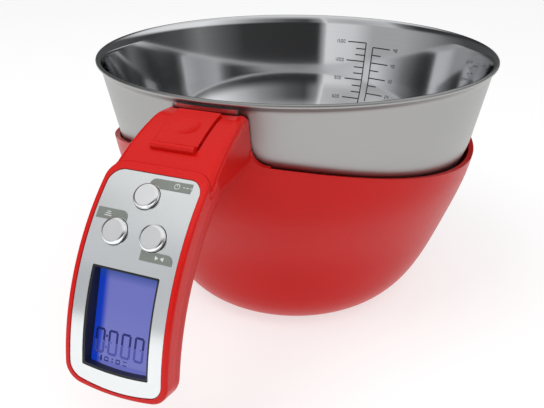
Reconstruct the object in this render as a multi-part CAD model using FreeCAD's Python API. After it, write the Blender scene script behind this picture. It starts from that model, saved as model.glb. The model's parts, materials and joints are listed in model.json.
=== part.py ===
"""Kitchen scale: a steel bowl in a moulded base, with the display in a curved handle.

Millimetres, +Z up.  The origin is on the bowl's axis at the level the feet stand on.
The handle points toward -Y.
"""
import FreeCAD, Part
import math
import os

V = FreeCAD.Vector
UP = V(0, 0, 1)
RIGHT = V(1, 0, 0)

# ---- bowl ---------------------------------------------------------------
RIM_RADIUS = 100.0            # outside of the rolled lip
TOTAL_HEIGHT = 130.0          # floor to the top of the lip
BOWL_TAPER = 0.2              # radius lost per mm of depth
BOWL_WALL = 0.8
LIP_RADIUS = 1.0              # rolled bead
BOWL_BOTTOM = 42.0            # level of the bowl's flat underside
BOWL_CORNER = 0.75 * (TOTAL_HEIGHT - BOWL_BOTTOM)    # large curve from wall to bottom

# ---- moulded base -------------------------------------------------------
SHELL_WALL = 2.3
BOWL_GAP = 0.9                # dark line between bowl and base
FOOT_HEIGHT = 2.0
SADDLE_LOW = TOTAL_HEIGHT - 45.5    # rim level at the sides
SADDLE_RADIUS = 320.0         # the rim is cut by a cylinder along X
SADDLE_CENTRE_Y = 12.0
BELLY_SET_BACK = 6.0          # how far the mid-height sections sit behind the axis
TOE_RADIUS = 18.0             # bulge under the handle that keeps the scale from tipping
TOE_REACH = 35.5
TOE_LOW = 0.8
TOE_HEIGHT = 14.0
TOE_EDGE = 6.0
FLARE_START = TOTAL_HEIGHT - 42.0   # below this level the outside curves inward
FLARE_DEPTH = FLARE_START + 4.3     # the curve would close below the floor
FLARE_POWER = 1.30
FLARE_ROUNDNESS = 4.01
COVER_RADIUS = 0.46 * RIM_RADIUS
COVER_THICKNESS = 2.8
COVER_CLEARANCE = 0.3
FLOOR_OPENING = COVER_RADIUS - 10.0
FLOOR_THICKNESS = 2.5

# ---- handle -------------------------------------------------------------
HANDLE_WIDTH = 43.0
HANDLE_WALL = 1.8
FRONT_RADIUS = 91.8           # outer face of the head, an arc about ARC_CENTRE
BEZEL_RADIUS = FRONT_RADIUS + 1.4   # raised rim around the fascia
BEZEL_TOP_ANGLE = 56.4
BEZEL_CORNER = 7.5
BEZEL_EDGE = 1.2
ARC_Y = -RIM_RADIUS + 20.1    # centre of the arc
ARC_Z = TOTAL_HEIGHT - 93.9
HEAD_TOP = TOTAL_HEIGHT - 5.6 # the head flattens here beside the bowl
HEAD_HALF_AT_BOWL = HANDLE_WIDTH / 2 - 3.2    # the head narrows toward the bowl
HEAD_HALF_AT_BEZEL = HANDLE_WIDTH / 2 - 0.1
HEAD_BEND = 14.0              # eases the arc into the flat top
HEAD_OVERLAP_ANGLE = 3.0      # how far the head reaches into the bar
HEAD_INTO_BOWL = 28.0         # drawn this far past the bowl, then trimmed
HEAD_EDGE = 3.0
HEAD_ROOT_FLARE = 7.0         # curve where the head meets the base's rim
TIP_ANGLE = 2.0               # the arc ends at the free tip
BACK_DEPTH_TOP = 11.7         # handle thickness at three angles
BACK_DEPTH_MIDDLE = 11.6
BACK_DEPTH_TIP = 10.0
BACK_TOP_ANGLE = 56.0
BACK_MIDDLE_ANGLE = 32.0
TIP_BOW = 3.0                 # rise of the curved lower end
TIP_CORNER = 8.0
OUTLINE_ANGLE = 10.0          # direction in which the rounded tip is drawn
BACK_EDGE = 4.0
SPLIT_DEPTH = 4.6             # parting line behind the front face
NECK_BOTTOM = TOTAL_HEIGHT - 27.5
NECK_CORNER = 4.0
NECK_WALL = 2.2
FASCIA_FLOOR = 1.0            # red floor under the fascia
SCREW_PILOT = 1.3
LATCH_STEM = 8.0              # width of the stem that carries the claw
LATCH_STEM_DEPTH = 8.0
LATCH_STEM_LOW = 65.0
LATCH_STEM_HIGH = 72.0
HOOK_CLEARANCE = 1.3

# ---- fascia and controls --------------------------------------------------
FASCIA_SUNK = 0.3             # fascia below the bezel
FASCIA_THICKNESS = 2.0
FASCIA_WIDTH = HANDLE_WIDTH - 5.0
FASCIA_DATUM_ANGLE = 52.2     # arc lengths down the fascia start here
FASCIA_TOP_ANGLE = 53.9
FASCIA_TIP_ANGLE = 3.3
FASCIA_CORNER = 5.5
FASCIA_FIT = 0.25
WINDOW_WIDTH = FASCIA_WIDTH - 10.4
WINDOW_TOP = 34.0             # arc lengths measured down the fascia
WINDOW_END = 72.2
BUTTON_RADIUS = 5.0
BUTTON_PROUD = 2.0
BUTTON_FIT = 0.2
BUTTON_ROW_END = 26.2         # lower edge of the lower pair, so their flanges clear the screws
BUTTONS = {
    "zero_button": (-0.6, 6.6),
    "mode_button": (-8.4, BUTTON_ROW_END - BUTTON_RADIUS),
    "unit_button": (7.3, BUTTON_ROW_END - BUTTON_RADIUS - 0.2),
}
TAG_THICKNESS = 0.25
TAG_CORNER = 2.4
# place across and down, width, height, and the side of the rounded upper corner
TAGS = [(6.8, 0.75, 16.8, 3.7, -1), (-11.65, 15.35, 12.7, 4.1, 1), (10.5, 27.4, 12.8, 3.6, 1)]

# ---- latch and bracket ----------------------------------------------------
LATCH_TOP_ANGLE = 76.0
LATCH_END_ANGLE = 61.0
LATCH_THICKNESS = 1.7
LATCH_TRAVEL_ANGLE = 1.9
LATCH_LIFT = 0.15             # running gap under the latch plate
LATCH_SUNK = 0.85             # the plate lies this deep in its pocket
LATCH_SIDE_GAP = 0.8
LATCH_LIP_ANGLE = 64.7        # below this angle the plate rides over the head
RIDGE_RADIUS = 1.5
DIMPLE_RADIUS = 26.0
DIMPLE_DEPTH = 0.6
DIMPLE_ANGLE = 69.5
BRACKET_WIDTH = 2 * HEAD_HALF_AT_BOWL - 8.8
BRACKET_TOP = TOTAL_HEIGHT - 3.3
BRACKET_BOTTOM = TOTAL_HEIGHT - 19.8
BRACKET_THICKNESS = 1.2
BRACKET_GAP = 0.9
HOOK_LEVEL = TOTAL_HEIGHT - 17.0
HOOK_WIDTH = 9.0
HOOK_HEIGHT = 3.0
LATCH_WIDTH = BRACKET_WIDTH - 9.2

# ---- works inside the base -------------------------------------------------
CELL_LENGTH = 70.0
CELL_SECTION = 12.7
CELL_BOTTOM = 18.0
PLATFORM_RADIUS = 34.0
PLATFORM_THICKNESS = 3.4
PLATFORM_TRAVEL = 0.5
SCREW_RADIUS = 2.0
CAP_RADIUS = 13.0
CAP_Y = 26.0
CAP_THICKNESS = 1.8
RUN_FIT = 0.08
COIN_RADIUS = 10.0
COIN_THICKNESS = 3.2
FOOT_RADIUS = 5.0
FOOT_CIRCLE = COVER_RADIUS - 7.0
FOOT_SEAT = 1.0
COVER_SCREW_CIRCLE = COVER_RADIUS - 5.5
COVER_SCREW_ANGLE = 20.0
COVER_SCREW_RADIUS = 1.2
COVER_HEAD_RADIUS = 2.7
COVER_HEAD_HEIGHT = 1.3
CELL_SCREW_INNER = 22.0       # distance of each screw from the middle of the load cell
CELL_SCREW_OUTER = 31.0
CELL_HEAD_RADIUS = 3.6
CELL_HEAD_HEIGHT = 2.2
BOSS_WIDTH = 16.0
CUP_WALL = 3.5                # ring around the coin cell
CAP_TAB = 1.2
CAP_TAB_THICKNESS = 0.8
FLEX_WIDTH = 10.0
FLEX_THICKNESS = 0.3
FLEX_LOW = 26.0
FLEX_HIGH = TOTAL_HEIGHT - 23.0

# ---- works inside the handle -------------------------------------------------
LCD_MIDDLE = 53.1             # arc length of the middle of the display
LCD_HALF_LENGTH = 20.6
LCD_HALF_WIDTH = WINDOW_WIDTH / 2 + 2.0
LCD_DEPTH = 5.8               # glass below the fascia
GLASS_THICKNESS = 1.6
BACKLIGHT_THICKNESS = 1.4
BOARD_THICKNESS = 1.0
LCD_FRAME_WALL = 1.0
LIP_FIT = 0.15
LIP_WALL = 0.7
LIP_BELOW = 0.3               # the lip ends this far under the fascia
BUTTON_BOARD_MIDDLE = 15.0
BUTTON_BOARD_DEPTH = 9.9
SWITCH_SIZE = 6.0
SWITCH_HEIGHT = 2.7
HANDLE_SCREW_LENGTH = 26.6
HANDLE_SCREW_X = HANDLE_WIDTH / 2 - 5.5
HANDLE_BOSS = 2.6

SHELL_BOTTOM = FOOT_HEIGHT
COVER_TOP = SHELL_BOTTOM + COVER_THICKNESS
FLOOR_TOP = COVER_TOP + FLOOR_THICKNESS
WALL_TOP_RADIUS = RIM_RADIUS - 1.5 * LIP_RADIUS
FASCIA_RADIUS = BEZEL_RADIUS - FASCIA_SUNK
LCD_TOP = FASCIA_RADIUS - LCD_DEPTH
BUTTON_BOARD_TOP = FASCIA_RADIUS - BUTTON_BOARD_DEPTH
HALF = HANDLE_WIDTH / 2
BEYOND = 3 * RIM_RADIUS       # safely outside the object


# ---- helpers ----------------------------------------------------------------
def export(name, shape):
    shape.exportStep("parts/" + name + ".step")


def box(x0, x1, y0, y1, z0, z1):
    return Part.makeBox(x1 - x0, y1 - y0, z1 - z0, V(x0, y0, z0))


def disc(radius, z0, z1, x=0.0, y=0.0):
    return Part.makeCylinder(radius, z1 - z0, V(x, y, z0))


def face_of(points):
    wire = Part.makePolygon(points + [points[0]])
    return Part.Face(wire)


def spin(points):
    """Turn a closed outline of (radius, height) points about the Z axis."""
    return face_of([V(r, 0, z) for r, z in points]).revolve(V(0, 0, 0), UP, 360)


def unit(angle):
    """Outward direction of the handle's arc at an angle above the horizontal."""
    a = math.radians(angle)
    return V(0, -math.cos(a), math.sin(a))


def along(angle):
    """Direction down the handle, at a right angle to unit()."""
    a = math.radians(angle)
    return V(0, -math.sin(a), -math.cos(a))


def on_arc(radius, angle, x=0.0):
    return V(x, ARC_Y, ARC_Z) + unit(angle) * radius


def angle_at(length):
    """Angle of a place on the fascia, from its distance below the fascia's datum."""
    return FASCIA_DATUM_ANGLE - math.degrees(length / FASCIA_RADIUS)


def arc_cylinder(radius, half_width):
    return Part.makeCylinder(radius, 2 * half_width, V(-half_width, ARC_Y, ARC_Z), RIGHT)


def arc_sector(inner, outer, half_width, low, high):
    """Part of a ring about the handle's arc centre between two angles."""
    p = [on_arc(inner, low, -half_width), on_arc(outer, low, -half_width),
         on_arc(outer, high, -half_width), on_arc(inner, high, -half_width)]
    middle = (low + high) / 2
    wire = Part.Wire([Part.makeLine(p[0], p[1]),
                      Part.Arc(p[1], on_arc(outer, middle, -half_width), p[2]).toShape(),
                      Part.makeLine(p[2], p[3]),
                      Part.Arc(p[3], on_arc(inner, middle, -half_width), p[0]).toShape()])
    return Part.Face(wire).extrude(V(2 * half_width, 0, 0))


def stood(shape, origin, angle):
    """Move a shape drawn with +Z outward so that it stands on the arc at an angle."""
    copy = shape.copy()
    copy.Placement = FreeCAD.Placement(origin, FreeCAD.Rotation(RIGHT, 90 - angle))
    return copy


def front_prism(middle, half_width, high, low, bow, top_corner, tip_corner):
    """Rounded outline seen square to the arc at its middle angle, as a deep prism."""
    top = FASCIA_RADIUS * math.sin(math.radians(high - middle))
    tip = FASCIA_RADIUS * math.sin(math.radians(low - middle))
    a = V(-half_width, tip + bow, 0)
    b = V(half_width, tip + bow, 0)
    c = V(half_width, top, 0)
    d = V(-half_width, top, 0)
    wire = Part.Wire([Part.Arc(a, V(0, tip, 0), b).toShape(), Part.makeLine(b, c),
                      Part.makeLine(c, d), Part.makeLine(d, a)])
    prism = Part.Face(wire).extrude(V(0, 0, 60))
    for y, radius in ((tip + bow, tip_corner), (top, top_corner)):
        edges = [e for e in prism.Edges if abs(e.CenterOfMass.y - y) < 0.01
                 and abs(e.tangentAt(e.FirstParameter).z) > 0.99]
        prism = prism.makeFillet(radius, edges)
    return stood(prism, on_arc(60, middle), middle)


# ---- outlines shared by the bowl and the base -------------------------------
def bowl_radius(z):
    return WALL_TOP_RADIUS + BOWL_TAPER * (z - TOTAL_HEIGHT)


def flare(z):
    """Outside radius of the moulded base, before it is set back."""
    if z >= FLARE_START:
        return bowl_radius(z) + BOWL_GAP + SHELL_WALL
    depth = (FLARE_START - z) / FLARE_DEPTH
    top = bowl_radius(FLARE_START) + BOWL_GAP + SHELL_WALL
    return top * (1 - depth ** FLARE_POWER) ** (1 / FLARE_ROUNDNESS)


def set_back(z):
    if z >= FLARE_START:
        return 0.0
    return BELLY_SET_BACK * math.sin(math.pi * z / FLARE_START) ** 2


def base_loft(wall, low, high, count):
    """Stack of circles that follows the base's outside, inset by a wall."""
    rings = []
    for i in range(count):
        z = low + (high - low) * i / (count - 1)
        slope = (flare(z + 0.5) - flare(z - 0.5))
        radius = flare(z) - 0.4 * set_back(z) - wall * math.sqrt(1 + slope * slope)
        rings.append(Part.Wire(Part.makeCircle(radius, V(0, set_back(z), z))))
    return Part.makeLoft(rings, True, False)


# ---- bowl -------------------------------------------------------------------
def bowl_outline(inset):
    """Edges of the bowl's section, from the axis to the top of the wall."""
    tilt = math.atan(BOWL_TAPER)
    corner = BOWL_CORNER - inset
    level = BOWL_BOTTOM + BOWL_CORNER
    tangent = level - corner * math.sin(tilt)
    edge = bowl_radius(tangent) - inset / math.cos(tilt)
    centre = edge - corner * math.cos(tilt)
    turn = (math.pi / 2 + tilt) / 2
    half = V(centre + corner * math.sin(turn - tilt), 0, level - corner * math.cos(turn - tilt))
    floor = V(centre, 0, BOWL_BOTTOM + inset)
    wall = V(edge, 0, tangent)
    end_z = TOTAL_HEIGHT - LIP_RADIUS
    end = V(bowl_radius(end_z) - inset / math.cos(tilt), 0, end_z)
    return floor, half, wall, end


def make_bowl():
    f0, h0, w0, e0 = bowl_outline(0.0)
    f1, h1, w1, e1 = bowl_outline(BOWL_WALL)
    axis0 = V(0, 0, f0.z)
    axis1 = V(0, 0, f1.z)
    wire = Part.Wire([Part.makeLine(axis0, f0), Part.Arc(f0, h0, w0).toShape(), Part.makeLine(w0, e0),
                      Part.makeLine(e0, e1), Part.makeLine(e1, w1), Part.Arc(w1, h1, f1).toShape(),
                      Part.makeLine(f1, axis1), Part.makeLine(axis1, axis0)])
    body = Part.Face(wire).revolve(V(0, 0, 0), UP, 360)
    lip = Part.makeTorus(RIM_RADIUS - LIP_RADIUS, LIP_RADIUS, V(0, 0, TOTAL_HEIGHT - LIP_RADIUS))
    return body.fuse(lip).removeSplitter()


def wall_ring(inner, outer, low, high):
    """Ring that follows the bowl's outer wall, between two distances from it."""
    return spin([(bowl_radius(low) + inner, low), (bowl_radius(low) + outer, low),
                 (bowl_radius(high) + outer, high), (bowl_radius(high) + inner, high)])


def bracket_window(clearance):
    half = HOOK_WIDTH / 2 + clearance
    top = HOOK_LEVEL + HOOK_HEIGHT + clearance
    return box(-half, half, -RIM_RADIUS - 20, -RIM_RADIUS + 20, HOOK_LEVEL - clearance, top)


def make_bracket():
    half = BRACKET_WIDTH / 2
    ring = wall_ring(0, BRACKET_THICKNESS, BRACKET_BOTTOM, BRACKET_TOP)
    plate = ring.common(box(-half, half, -BEYOND, 0, 0, BEYOND))
    return plate.cut(bracket_window(1.0))


# ---- handle outlines ---------------------------------------------------------
def handle_bar(inset):
    """Curved bar of the handle below its head; inset > 0 gives the hollow inside it."""
    outer = FRONT_RADIUS - inset
    tip = TIP_ANGLE - 5
    top = BACK_TOP_ANGLE
    a = on_arc(outer, tip)
    b = on_arc(outer, (tip + top) / 2)
    c = on_arc(outer, top)
    d = on_arc(FRONT_RADIUS - BACK_DEPTH_TOP + inset, top)
    e = on_arc(FRONT_RADIUS - BACK_DEPTH_MIDDLE + inset, BACK_MIDDLE_ANGLE)
    f = on_arc(FRONT_RADIUS - BACK_DEPTH_TIP + inset, tip)
    wire = Part.Wire([Part.Arc(a, b, c).toShape(), Part.makeLine(c, d),
                      Part.Arc(d, e, f).toShape(), Part.makeLine(f, a)])
    half = HALF - inset
    bar = Part.Face(wire)
    bar.translate(V(-half, 0, 0))
    return bar.extrude(V(2 * half, 0, 0)).common(handle_outline(inset))


def handle_outline(inset):
    """Rounded tip and straight sides of the handle, as a deep prism."""
    low = TIP_ANGLE + math.degrees(inset / FRONT_RADIUS)
    return front_prism(OUTLINE_ANGLE, HALF - inset, OUTLINE_ANGLE + 85, low, TIP_BOW, 1.0, TIP_CORNER - inset)


def make_bezel():
    """Raised rim of the handle around the fascia."""
    middle = (FASCIA_TOP_ANGLE + FASCIA_TIP_ANGLE) / 2
    top = front_prism(middle, HALF, BEZEL_TOP_ANGLE, -25, TIP_BOW, BEZEL_CORNER, 1.0)
    ring = arc_cylinder(BEZEL_RADIUS, HALF + 1).cut(arc_cylinder(FRONT_RADIUS - HEAD_EDGE - 1, HALF + 2))
    bezel = ring.common(top).common(handle_outline(0.0))
    rim = [e for e in bezel.Edges if on_radius(e, BEZEL_RADIUS)]
    return bezel.makeFillet(BEZEL_EDGE, rim)


def head_block(inset):
    """Head and neck: the end of the handle that narrows to the bowl."""
    near = HEAD_HALF_AT_BOWL - inset
    far = HEAD_HALF_AT_BEZEL - inset
    y_near = -bowl_radius(HEAD_TOP)
    y_far = on_arc(FRONT_RADIUS, BACK_TOP_ANGLE).y
    slope = (far - near) / (y_near - y_far)
    y0 = on_arc(FRONT_RADIUS, BACK_TOP_ANGLE - HEAD_OVERLAP_ANGLE).y
    y1 = y_near + HEAD_INTO_BOWL
    half0 = far + slope * (y_far - y0)
    half1 = near - slope * HEAD_INTO_BOWL
    low = NECK_BOTTOM + inset
    high = HEAD_TOP - inset
    outline = face_of([V(-half1, y1, low), V(-half0, y0, low), V(half0, y0, low), V(half1, y1, low)])
    under = outline.extrude(V(0, 0, high - low + 10))
    corners = [e for e in under.Edges if abs(e.CenterOfMass.z - low) < 0.01 and abs(e.CenterOfMass.x) > 5]
    under = under.makeFillet(max(NECK_CORNER - inset, 1.0), corners)
    outline.translate(V(0, 0, -40))
    over = outline.extrude(V(0, 0, high - low + 40)).common(arc_cylinder(FRONT_RADIUS - inset, HALF + 5))
    bend = [e for e in over.Edges if abs(e.CenterOfMass.x) < 0.01 and abs(e.CenterOfMass.z - high) < 0.01
            and e.CenterOfMass.y < y_near and e.CenterOfMass.y > y0 + 1]
    over = over.makeFillet(HEAD_BEND, bend)
    sides = [e for e in over.Edges if is_head_edge(e, y0, y1, low)]
    over = over.makeFillet(max(HEAD_EDGE - inset, 1.0), sides)
    return under.common(over)


def is_head_edge(edge, y0, y1, low):
    """True for the long upper edges at the two sides of the head."""
    p = edge.CenterOfMass
    if abs(p.x) < 5 or p.y < y0 + 0.5 or p.y > y1 - 0.5 or p.z < low:
        return False
    return abs(edge.tangentAt(edge.FirstParameter).z) < 0.95


def on_radius(edge, radius):
    """True for an edge that lies on a cylinder about the arc's centre."""
    for t in (0.15, 0.5, 0.85):
        p = edge.valueAt(edge.FirstParameter + t * (edge.LastParameter - edge.FirstParameter))
        if abs(math.hypot(p.y - ARC_Y, p.z - ARC_Z) - radius) > 0.02:
            return False
    return True


def handle_solid():
    """Outside of the whole handle with its neck."""
    bar = handle_bar(0.0)
    rear = [e for e in bar.Edges if is_rear_edge(e)]
    bar = bar.makeFillet(BACK_EDGE, rear)
    front = [e for e in bar.Edges if on_radius(e, FRONT_RADIUS) and abs(e.CenterOfMass.x) > HALF - 0.1]
    bar = bar.makeFillet(HEAD_EDGE, front)
    return bar.fuse([head_block(0.0), make_bezel()]).removeSplitter()


def is_rear_edge(edge):
    """True for the long edges along the handle's rear face and round its tip."""
    low = FRONT_RADIUS - BACK_DEPTH_TOP - 0.05
    high = FRONT_RADIUS - BACK_DEPTH_TIP + 3
    for t in (0.15, 0.5, 0.85):
        p = edge.valueAt(edge.FirstParameter + t * (edge.LastParameter - edge.FirstParameter))
        reach = math.hypot(p.y - ARC_Y, p.z - ARC_Z)
        if reach < low or reach > high:
            return False
        if abs(p.x) < HALF - 0.01 and math.degrees(math.atan2(p.z - ARC_Z, ARC_Y - p.y)) > 20:
            return False
    return edge.Length > 4


def handle_hollow():
    """Space inside the handle and its neck."""
    hollow = handle_bar(HANDLE_WALL).fuse(head_block(NECK_WALL)).removeSplitter()
    return hollow.cut(bowl_space(BOWL_GAP + BRACKET_THICKNESS + BRACKET_GAP + NECK_WALL - 0.6))


def saddle_tool():
    """What is cut away above the base's rim; the rim curves up to meet the head."""
    middle = V(-BEYOND, SADDLE_CENTRE_Y, SADDLE_LOW + SADDLE_RADIUS)
    tool = Part.makeCylinder(SADDLE_RADIUS, 2 * BEYOND, middle, RIGHT)
    reach = bowl_radius(NECK_BOTTOM) + SADDLE_CENTRE_Y
    rim = SADDLE_LOW + SADDLE_RADIUS - math.sqrt(SADDLE_RADIUS ** 2 - reach ** 2)
    r = HEAD_ROOT_FLARE
    y = -RIM_RADIUS - 20
    for side in (-1, 1):
        inner = side * (HEAD_HALF_AT_BOWL - 2)
        foot = side * (HEAD_HALF_AT_BOWL + r)
        neck = side * HEAD_HALF_AT_BOWL
        bend = V(foot - side * r * math.sqrt(0.5), y, rim + r - r * math.sqrt(0.5))
        arc = Part.Arc(V(neck, y, rim + r), bend, V(foot, y, rim)).toShape()
        wire = Part.Wire([arc, Part.makeLine(V(foot, y, rim), V(foot, y, rim - 6)),
                          Part.makeLine(V(foot, y, rim - 6), V(inner, y, rim - 6)),
                          Part.makeLine(V(inner, y, rim - 6), V(inner, y, rim + r)),
                          Part.makeLine(V(inner, y, rim + r), V(neck, y, rim + r))])
        tool = tool.cut(Part.Face(wire).extrude(V(0, 0.6 * RIM_RADIUS, 0)))
    return tool


def bowl_space(gap):
    """Everything that the bowl and its lift need, as one turned solid."""
    low = FLARE_START - 30
    top = TOTAL_HEIGHT + 20
    return spin([(0, low), (bowl_radius(low) + gap, low), (bowl_radius(top) + gap, top), (0, top)])


def bracket_slot():
    half = BRACKET_WIDTH / 2 + BRACKET_GAP
    ring = wall_ring(0, BRACKET_THICKNESS + BRACKET_GAP, BRACKET_BOTTOM - 2, TOTAL_HEIGHT + 10)
    return ring.common(box(-half, half, -BEYOND, 0, 0, BEYOND))


# ---- base ---------------------------------------------------------------------
def base_inside():
    return base_loft(SHELL_WALL, FLOOR_TOP, FLARE_START + 40, 16)


def base_outside():
    return base_loft(0.0, SHELL_BOTTOM, FLARE_START + 30, 15)


def cover_screw_places():
    a = math.radians(COVER_SCREW_ANGLE)
    x = COVER_SCREW_CIRCLE * math.cos(a)
    y = COVER_SCREW_CIRCLE * math.sin(a)
    return [(x, y), (-x, y), (-x, -y), (x, -y)]


def make_outer_shell():
    """Base, neck and rear half of the handle: one moulding."""
    bowl_side = base_inside()
    toe = disc(TOE_RADIUS, TOE_LOW, TOE_HEIGHT, 0, -TOE_REACH)
    sole = [e for e in toe.Edges if abs(e.CenterOfMass.z - TOE_LOW) < 0.01]
    toe = toe.makeFillet(TOE_EDGE, sole)
    body = base_outside().fuse(toe).cut(bowl_side).cut(saddle_tool())
    body = body.cut(disc(COVER_RADIUS + COVER_CLEARANCE, SHELL_BOTTOM - 1, COVER_TOP))
    body = body.cut(disc(FLOOR_OPENING, COVER_TOP - 1, FLOOR_TOP + 1))
    body = body.cut(disc(CAP_RADIUS + CUP_WALL + COVER_CLEARANCE, COVER_TOP - 1, FLOOR_TOP + 1, 0, CAP_Y))
    handle = handle_solid().cut(handle_hollow())
    handle = handle.cut(bowl_side).cut(bowl_space(BOWL_GAP))
    handle = handle.cut(front_zone(0.0))
    shell = body.fuse(handle).removeSplitter()
    shell = shell.cut(bracket_slot()).cut(hook_window())
    groove = wall_skin(FLEX_THICKNESS + 0.3)
    shell = shell.cut(groove.common(flex_zone(0.3)))
    half = FLEX_WIDTH / 2 + 0.3
    duct_y = -bowl_radius(FLEX_HIGH) - 10
    duct_low = FLEX_HIGH - FLEX_THICKNESS - 0.3
    shell = shell.cut(box(-half, half, duct_y, duct_y + 12, duct_low, FLEX_HIGH + 0.3))
    for x, y in cover_screw_places():
        shell = shell.cut(disc(SCREW_PILOT, COVER_TOP - 1, FLOOR_TOP - 0.5, x, y))
    for side in (-1, 1):
        seat = screw_seat()
        boss = disc(HANDLE_BOSS, seat - 1.0, FRONT_RADIUS - SPLIT_DEPTH)
        shell = shell.fuse(at_screw(boss, side))
        shell = shell.cut(at_screw(disc(2.6, seat - 6, seat), side))
        shell = shell.cut(at_screw(disc(COVER_SCREW_RADIUS + 0.1, seat - 1, FRONT_RADIUS), side))
    return shell


def front_zone(clearance):
    """Region in front of the handle's parting line."""
    outer = FRONT_RADIUS + 30
    inner = FRONT_RADIUS - SPLIT_DEPTH - clearance
    ring = arc_cylinder(outer, HALF + 5).cut(arc_cylinder(inner, HALF + 6))
    return ring.cut(box(-BEYOND, BEYOND, -BEYOND, BEYOND, -BEYOND, ARC_Z - 30))


def fascia_prism(extra):
    return front_prism((FASCIA_TOP_ANGLE + FASCIA_TIP_ANGLE) / 2, FASCIA_WIDTH / 2 + extra,
                       FASCIA_TOP_ANGLE + math.degrees(extra / FRONT_RADIUS),
                       FASCIA_TIP_ANGLE - math.degrees(extra / FRONT_RADIUS),
                       TIP_BOW, FASCIA_CORNER + extra, FASCIA_CORNER + extra)


def fascia_layer(inner, outer, extra):
    ring = arc_cylinder(outer, HALF).cut(arc_cylinder(inner, HALF + 1))
    return ring.common(fascia_prism(extra))


def window_prism(extra):
    top = angle_at(WINDOW_TOP)
    end = angle_at(WINDOW_END)
    middle = (top + end) / 2
    return front_prism(middle, WINDOW_WIDTH / 2 + extra, top + math.degrees(extra / FRONT_RADIUS),
                       end - math.degrees(extra / FRONT_RADIUS), 1.0, 0.6, 0.6)


def button_at(place, shape):
    x, length = place
    angle = angle_at(length)
    return stood(shape, on_arc(FASCIA_RADIUS, angle, x), angle)


def make_handle_front():
    """Front half of the handle with the recess for the fascia."""
    front = handle_solid().cut(handle_hollow()).cut(bowl_space(BOWL_GAP)).cut(base_inside())
    front = front.common(front_zone(0.0))
    floor = FASCIA_RADIUS - FASCIA_THICKNESS
    seat = handle_solid().common(fascia_layer(floor - FASCIA_FLOOR, floor, 1.5))
    bosses = [at_screw(disc(HANDLE_BOSS, FRONT_RADIUS - SPLIT_DEPTH, floor - 0.5), side) for side in (-1, 1)]
    front = front.fuse([seat] + bosses).removeSplitter()
    for side in (-1, 1):
        front = front.cut(at_screw(disc(COVER_SCREW_RADIUS + 0.1, 80, FRONT_RADIUS - 2.6), side))
    front = front.cut(fascia_layer(floor, FASCIA_RADIUS + 10, FASCIA_FIT))
    front = front.cut(window_prism(0.5))
    for place in BUTTONS.values():
        front = front.cut(button_at(place, disc(BUTTON_RADIUS + 2 * BUTTON_FIT, -8, 5)))
    front = front.cut(bracket_slot())
    front = front.cut(latch_slot())
    front = front.cut(hook_window())
    return front


def make_fascia():
    fascia = fascia_layer(FASCIA_RADIUS - FASCIA_THICKNESS, FASCIA_RADIUS, 0.0)
    fascia = fascia.cut(window_prism(0.0))
    for place in BUTTONS.values():
        fascia = fascia.cut(button_at(place, disc(BUTTON_RADIUS + BUTTON_FIT, -8, 5)))
    return fascia


# ---- latch ----------------------------------------------------------------------
def latch_slot():
    """Pocket for the latch plate and the slot for its stem."""
    low = LATCH_STEM_LOW - LATCH_TRAVEL_ANGLE - 2
    slot = arc_sector(FRONT_RADIUS - SPLIT_DEPTH - 3, FRONT_RADIUS + 2, LATCH_STEM / 2 + 0.5,
                      low, LATCH_STEM_HIGH + 1)
    seat = FRONT_RADIUS - LATCH_SUNK - LATCH_LIFT
    pocket = arc_sector(seat, FRONT_RADIUS + 4, LATCH_WIDTH / 2 + LATCH_SIDE_GAP, LATCH_LIP_ANGLE - 2.1, 82)
    return slot.fuse(pocket)


def hook_window():
    """Opening in the head's rear wall that the claw passes through."""
    rear_wall = box(-HALF, HALF, -RIM_RADIUS - 12, -RIM_RADIUS + 20, 0, BEYOND)
    return bracket_window(HOOK_CLEARANCE).common(rear_wall)


def make_latch_button():
    """Sliding plate on the head, with a finger dimple and a thumb ridge at its lower end."""
    inner = FRONT_RADIUS - LATCH_SUNK
    outer = inner + LATCH_THICKNESS
    half = LATCH_WIDTH / 2
    plate = arc_sector(inner, outer, half, LATCH_LIP_ANGLE, LATCH_TOP_ANGLE)
    lip = arc_sector(FRONT_RADIUS + LATCH_LIFT, outer, half, LATCH_END_ANGLE, LATCH_LIP_ANGLE)
    start = on_arc(outer, LATCH_END_ANGLE + 1.0, -half)
    ridge = Part.makeCylinder(RIDGE_RADIUS, 2 * half, start, RIGHT)
    ridge = ridge.cut(arc_cylinder(FRONT_RADIUS + LATCH_LIFT, HALF))
    stem = arc_sector(FRONT_RADIUS - LATCH_STEM_DEPTH, inner, LATCH_STEM / 2, LATCH_STEM_LOW, LATCH_STEM_HIGH)
    button = plate.fuse([lip, ridge, stem]).removeSplitter()
    dimple = Part.makeSphere(DIMPLE_RADIUS, on_arc(outer + DIMPLE_RADIUS - DIMPLE_DEPTH, DIMPLE_ANGLE))
    return button.cut(dimple)


def make_latch_hook():
    """Claw under the latch plate; its nose faces the window in the bracket."""
    half = HOOK_WIDTH / 2 - 0.5
    nose_end = -(bowl_radius(HOOK_LEVEL) + BRACKET_THICKNESS + 0.9)
    bar = box(-half, half, nose_end - 15, nose_end, HOOK_LEVEL, HOOK_LEVEL + HOOK_HEIGHT)
    stem_end = FRONT_RADIUS - LATCH_STEM_DEPTH
    pad = arc_sector(stem_end - 2.0, stem_end, LATCH_STEM / 2, LATCH_STEM_LOW, LATCH_STEM_HIGH)
    return bar.fuse(pad).removeSplitter().cut(make_latch_button())


def make_latch_spring():
    """Thin leaf below the claw that pushes it back toward the bowl."""
    leaf = FRONT_RADIUS - LATCH_STEM_DEPTH - 1.6
    return arc_sector(leaf, leaf + 0.3, 2.5, LATCH_END_ANGLE - 1.0, LATCH_STEM_LOW)


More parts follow.
